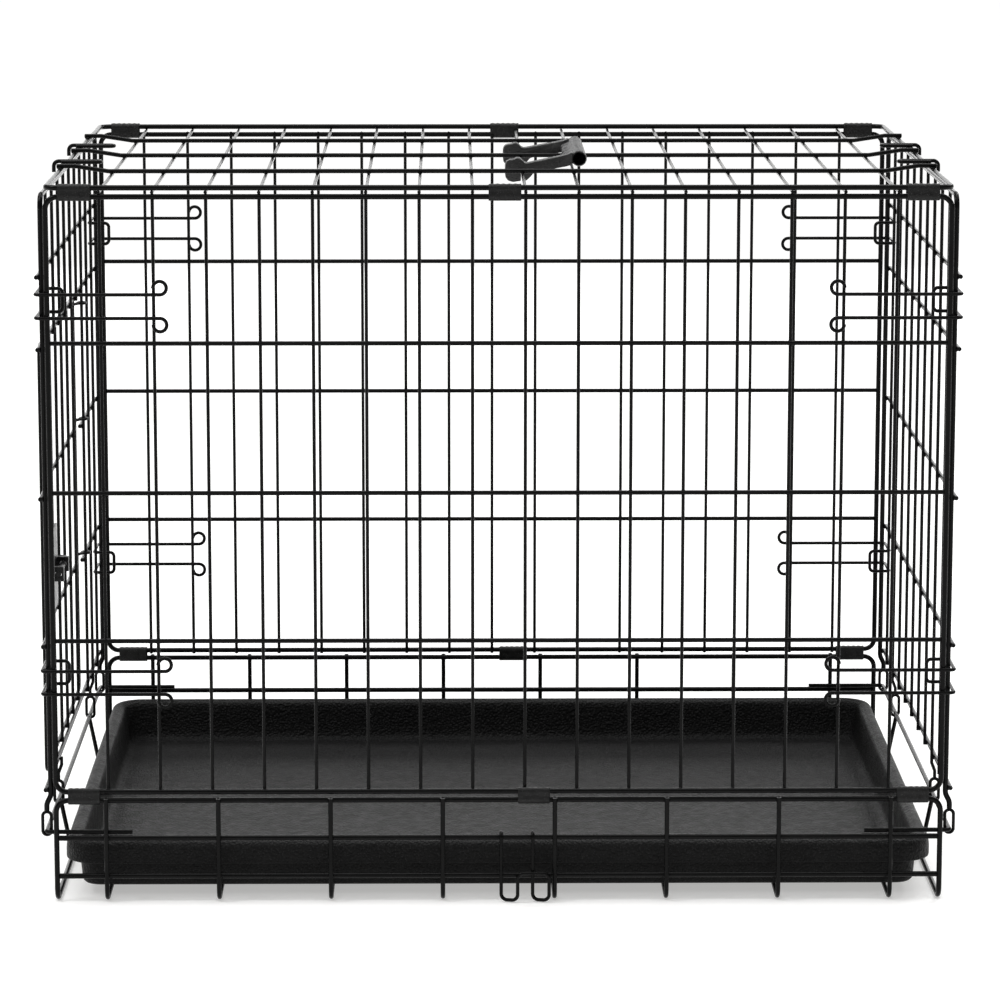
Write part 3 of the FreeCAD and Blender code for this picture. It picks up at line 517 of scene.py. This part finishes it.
def pan_mesh():
    """A thermoformed tray: crowned rim with a crease, drafted walls, filleted channel, flat floor."""
    low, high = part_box("pan")
    top, bottom = high.z / MM, low.z / MM
    floor = bottom + PAN_SHEET
    # (inset from the rim's outer side, level)
    profile = [
        # flat floor and the channel round it
        (MIDDLE_INSET, floor + 0.5), (30.0, floor + 0.5), (24.5, floor + 0.45), (22.5, floor + 0.1),
        (20.8, floor), (18.4, floor + 0.05), (16.4, floor + 0.5), (14.8, floor + 1.6),
        # inner wall up to the crease
        (13.7, floor + 3.2), (13.1, floor + 5.2), (12.3, floor + 12.0), (11.3, top - 7.5),
        (10.9, top - 4.2), (10.4, top - 2.6), (9.6, top - 1.6), (8.7, top - 1.15),
        # crowned rim
        (8.1, top - 0.95), (7.6, top - 0.55), (6.9, top - 0.15), (5.8, top),
        (4.6, top - 0.1), (3.3, top - 0.5), (2.1, top - 1.3), (1.1, top - 2.5),
        # skirt, its rolled edge and its inner side
        (0.45, top - 4.1), (0.12, top - 6.0), (0.0, top - 8.5), (0.0, top - 13.6),
        (0.25, top - 14.7), (0.9, top - 15.0), (1.9, top - 14.8), (2.4, top - 14.2),
        (2.5, top - 7.0), (4.2, top - 3.4), (6.9, top - 2.9), (8.2, top - 5.0),
        # outer wall and underside
        (10.4, bottom + 4.2), (11.0, bottom + 1.6), (12.4, bottom + 0.3), (14.5, bottom),
        (MIDDLE_INSET, bottom),
    ]
    verts, faces = [], []
    for inset, level in profile:
        radius = max(PAN_CORNER - inset * CORNER_TIGHTENING, LEAST_CORNER)
        if inset == MIDDLE_INSET:
            radius = MIDDLE_CORNER
        verts += rounded_ring(high.x - inset * MM, high.y - inset * MM, radius * MM, level * MM)
    count = len(verts) // len(profile)
    for ring in range(len(profile) - 1):
        strip(faces, ring * count, (ring + 1) * count, count)
    faces.append(tuple(range(count)))
    last = (len(profile) - 1) * count
    faces.append(tuple(reversed(range(last, last + count))))
    return mesh_of("pan_tray", verts, faces)


tray = piece("pan_tray", pan_mesh(), "pan", "pan_plastic")
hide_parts("pan")

# ---------------------------------------------------------------- carry handle

grip_low, grip_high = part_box("handle_grip")
arms_low, arms_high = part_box("handle_arms")
grip_radius = (grip_high.x - grip_low.x) / 2
grip_axis = Vector(((grip_low.x + grip_high.x) / 2, 0, (grip_low.z + grip_high.z) / 2))
hung_on = next(j for j in frame["record"]["behaviour"]["joints"] if j["name"] == "handle_swing")

ARM_WALL = 10.0 * MM
ARM_CLEAR = 0.6 * MM       # the tongue stops this far from the arms
GRIP_STATIONS = 150
GRIP_SIDES = 48
SCALLOPS = 5
TONGUE_STEM = 2.2          # millimetres out from the grip, between the scallops
TONGUE_LOBE = 3.0          # how much further a lobe reaches
LOBE_FULLNESS = 0.7        # below 1 the lobes are fuller than half waves
TONGUE_TURN = math.radians(196)
TONGUE_WIDTH = math.radians(30)
RIBS = 14                  # fine ribs over the grip's top
RIB_DEPTH = 0.12 * MM
RIB_TURN = math.radians(80)
RIB_WIDTH = 0.9
END_ROUND = 0.5 * MM
END_STATIONS = 2.0         # the ends are rounded over this many stations
BORE_RADIUS = 4.1 * MM
BORE_FLARE = 0.3 * MM
BORE_DEPTH = 16.0 * MM     # a web closes the bore this far in
WEB_RISE = 2.0 * MM
WEB_HEIGHT = 3.7 * MM

# the arm's outline is drawn in millimetres for a roof wire at this place
DRAWN_WIRE_X, DRAWN_WIRE_Z = 17.42, 481.45
STRAIGHT_FROM = 48.0       # the arms stand straight from here to the grip
FAR_CLAW_SPLAY = 9.0 * MM
ARM_EDGE = 0.9 * MM
ARM_EDGE_ANGLE = 24.0
drop = hung_on["pos_m"][2] - DRAWN_WIRE_Z * MM


def grip_mesh():
    """A hollow grip with finger scallops on a tongue that faces the arms."""
    start, finish = grip_low.y, grip_high.y
    clear = ARM_WALL + ARM_CLEAR
    verts, faces, outer, inner = [], [], [], []
    for station in range(GRIP_STATIONS + 1):
        share = station / GRIP_STATIONS
        y = start + (finish - start) * share
        between = (y - start - clear) / (finish - start - 2 * clear)
        tongue = 0.0
        if 0 < between < 1:
            wave = abs(math.sin(math.pi * between * SCALLOPS))
            tongue = (TONGUE_STEM + TONGUE_LOBE * wave ** LOBE_FULLNESS) * MM
        end_ease = min(1.0, min(share, 1 - share) * GRIP_STATIONS / END_STATIONS)
        for surface, bore in ((outer, False), (inner, True)):
            surface.append(len(verts))
            for side in range(GRIP_SIDES):
                turn = 2 * math.pi * side / GRIP_SIDES
                if bore:
                    web = min(1.0, max(0.0, min(y - start, finish - y) - BORE_DEPTH) / WEB_RISE)
                    radius = BORE_RADIUS + (1 - end_ease) * BORE_FLARE - web * WEB_HEIGHT
                else:
                    away = (turn - TONGUE_TURN) / TONGUE_WIDTH
                    radius = grip_radius - (1 - end_ease) * END_ROUND + tongue * math.exp(-(away ** 4))
                    over_top = math.exp(-(((turn - RIB_TURN) / RIB_WIDTH) ** 4))
                    radius += RIB_DEPTH * math.sin(turn * RIBS) * over_top
                reach_x, reach_z = radius * math.cos(turn), radius * math.sin(turn)
                verts.append(Vector((grip_axis.x + reach_x, y, grip_axis.z + reach_z)))
    for station in range(GRIP_STATIONS):
        strip(faces, outer[station], outer[station + 1], GRIP_SIDES, flip=True)
        strip(faces, inner[station], inner[station + 1], GRIP_SIDES)
    strip(faces, outer[0], inner[0], GRIP_SIDES, flip=True)
    strip(faces, inner[-1], outer[-1], GRIP_SIDES, flip=True)
    return mesh_of("grip_moulded", verts, faces)


def arm_mesh(start, splay):
    """One arm: a snap claw with a heel and hump, then a tapering bar to the grip; its claw may splay."""
    outline = [
        # slot that snaps over the roof wire
        (19.9, 475.9), (18.55, 475.7), (18.4, 480.2), (19.0, 481.45), (18.55, 482.6),
        (DRAWN_WIRE_X, 483.05), (16.3, 482.6), (15.85, 481.45), (16.45, 480.2), (16.3, 475.7),
        # heel, back and hump
        (14.4, 475.6), (11.0, 475.0), (7.6, 476.0), (5.8, 478.4), (5.5, 481.0), (5.5, 486.4),
        (6.3, 488.8), (8.2, 490.1), (11.8, 490.6), (13.4, 491.4), (15.2, 491.5), (16.6, 490.6),
        # top of the bar, the grip's end and the bar's underside
        (18.8, 488.3), (20.6, 487.9), (30.0, 489.9), (42.0, 492.4), (STRAIGHT_FROM, 493.9),
        (51.4, 495.3), (51.4, 486.9), (47.0, 485.6), (40.0, 484.3), (28.0, 481.9),
        (24.6, 480.8), (22.9, 478.6),
    ]
    verts = []
    for y in (start, start + ARM_WALL):
        for x, z in outline:
            share = max(0.0, min(1.0, (STRAIGHT_FROM - x) / (STRAIGHT_FROM - DRAWN_WIRE_X)))
            verts.append(Vector((x * MM, y + splay * share, z * MM + drop)))
    count = len(outline)
    faces = [tuple(range(count)), tuple(reversed(range(count, 2 * count)))]
    strip(faces, 0, count, count)
    mesh = mesh_of("handle_arm", verts, faces)
    work = bmesh.new()
    work.from_mesh(mesh)
    bmesh.ops.recalc_face_normals(work, faces=work.faces)
    work.to_mesh(mesh)
    work.free()
    return mesh


grip = piece("grip_moulded", grip_mesh(), "carry_handle", "handle_plastic")
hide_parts("handle_grip")
arms = (("near", arms_low.y, 0.0), ("far", arms_high.y - ARM_WALL, FAR_CLAW_SPLAY))
for label, start, splay in arms:
    arm = piece(f"handle_arm_{label}", arm_mesh(start, splay), "carry_handle", "handle_plastic")
    bevel(arm, ARM_EDGE, ARM_EDGE_ANGLE)
    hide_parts("handle_arms")

# ---------------------------------------------------------------- bolt plate

PLATE_EDGE = 0.45 * MM
MERGE_WITHIN = 0.01 * MM
FLAT_WITHIN = math.radians(2)


def plate_mesh():
    """The CAD plate with its triangles merged into flat faces, so that its edges can be rounded."""
    mesh = nodes["bolt_plate"].data.copy()
    mesh.materials.clear()
    work = bmesh.new()
    work.from_mesh(mesh)
    bmesh.ops.remove_doubles(work, verts=work.verts, dist=MERGE_WITHIN)
    bmesh.ops.dissolve_limit(work, angle_limit=FLAT_WITHIN, verts=work.verts, edges=work.edges)
    work.to_mesh(mesh)
    work.free()
    return mesh


plate = piece("bolt_plate_pressed", plate_mesh(), "door", "latch_steel", smooth=False)
bevel(plate, PLATE_EDGE)
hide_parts("bolt_plate")

# ---------------------------------------------------------------- floor, lights and camera

FLOOR_HALF = 30.0          # metres
WARM_WHITE = (1.0, 0.995, 0.98, 1.0)
FLOOR_GLOW = 0.42          # lifts the paper to the photograph's white
WALLS = 0.24               # the white walls' strength for light and reflections

signs = ((-1, -1), (1, -1), (1, 1), (-1, 1))
sheet = mesh_of("floor", [(FLOOR_HALF * x, FLOOR_HALF * y, 0) for x, y in signs], [(0, 1, 2, 3)])
floor = bpy.data.objects.new("floor", sheet)
bpy.context.scene.collection.objects.link(floor)
paper = Shader("floor_paper")
paper.drive("Base Color", paper.ramp(paper.noise(1.3), ((0.2, 0.64), (0.8, 0.66))))
paper.fix(roughness=0.9, specular_ior_level=0.0, emission_color=WARM_WHITE, emission_strength=FLOOR_GLOW)
sheet.materials.append(paper.material)

# a white backdrop for the camera, and dimmer walls for light and reflections
world = bpy.data.worlds.new("studio")
world.use_nodes = True
links = world.node_tree.links
backdrop = world.node_tree.nodes["Background"]
backdrop.inputs["Color"].default_value = WARM_WHITE
path = world.node_tree.nodes.new("ShaderNodeLightPath")
level = world.node_tree.nodes.new("ShaderNodeMapRange")
level.inputs["To Min"].default_value = WALLS
level.inputs["To Max"].default_value = 1.0
links.new(path.outputs["Is Camera Ray"], level.inputs["Value"])
links.new(level.outputs["Result"], backdrop.inputs["Strength"])
bpy.context.scene.world = world


def soft_light(name, where, target, size, power):
    """An area light in metres and watts that the camera doesn't see."""
    data = bpy.data.lights.new(name, "AREA")
    data.shape = "RECTANGLE"
    data.size, data.size_y = size
    data.energy = power
    item = bpy.data.objects.new(name, data)
    item.visible_camera = False
    item.location = where
    aim = Vector(target) - Vector(where)
    item.rotation_euler = aim.to_track_quat("-Z", "Y").to_euler()
    bpy.context.scene.collection.objects.link(item)


SKY_SPREAD = math.radians(90)
SKY_POWER = 2.2

soft_light("key", (-1.3, -0.6, 2.0), (0, 0, 0.25), (0.4, 0.8), 14)
soft_light("rim", (1.2, 1.2, 1.6), (0, 0, 0.3), (0.4, 0.8), 12)
soft_light("back_wall", (0, 3.2, 0.75), (0, 0, 0.35), (5.0, 1.3), 36)
soft_light("overhead", (0, 0.3, 2.6), (0, 0, 0), (1.6, 1.6), 22)

sun = bpy.data.objects.new("sky", bpy.data.lights.new("sky", "SUN"))
sun.data.angle = SKY_SPREAD
sun.data.energy = SKY_POWER
sun.rotation_euler = (math.radians(-8), math.radians(-6), 0)
bpy.context.scene.collection.objects.link(sun)
bpy.context.scene.view_settings.view_transform = "Standard"

# the camera fitted to the photograph's wires
SENSOR = 36.0
FOCAL_IN_WIDTHS = 4.1975
EYE = (-0.0332, -2.9549, 0.7640)
PITCH, ROLL, TURN = math.radians(90 - 10.176), math.radians(-0.036), math.radians(-0.704)
camera = bpy.data.objects.new("camera", bpy.data.cameras.new("camera"))
camera.data.sensor_width = SENSOR
camera.data.lens = SENSOR * FOCAL_IN_WIDTHS
camera.data.clip_end = 100.0
camera.location = EYE
camera.rotation_euler = (PITCH, ROLL, TURN)
bpy.context.scene.collection.objects.link(camera)
bpy.context.scene.camera = camera
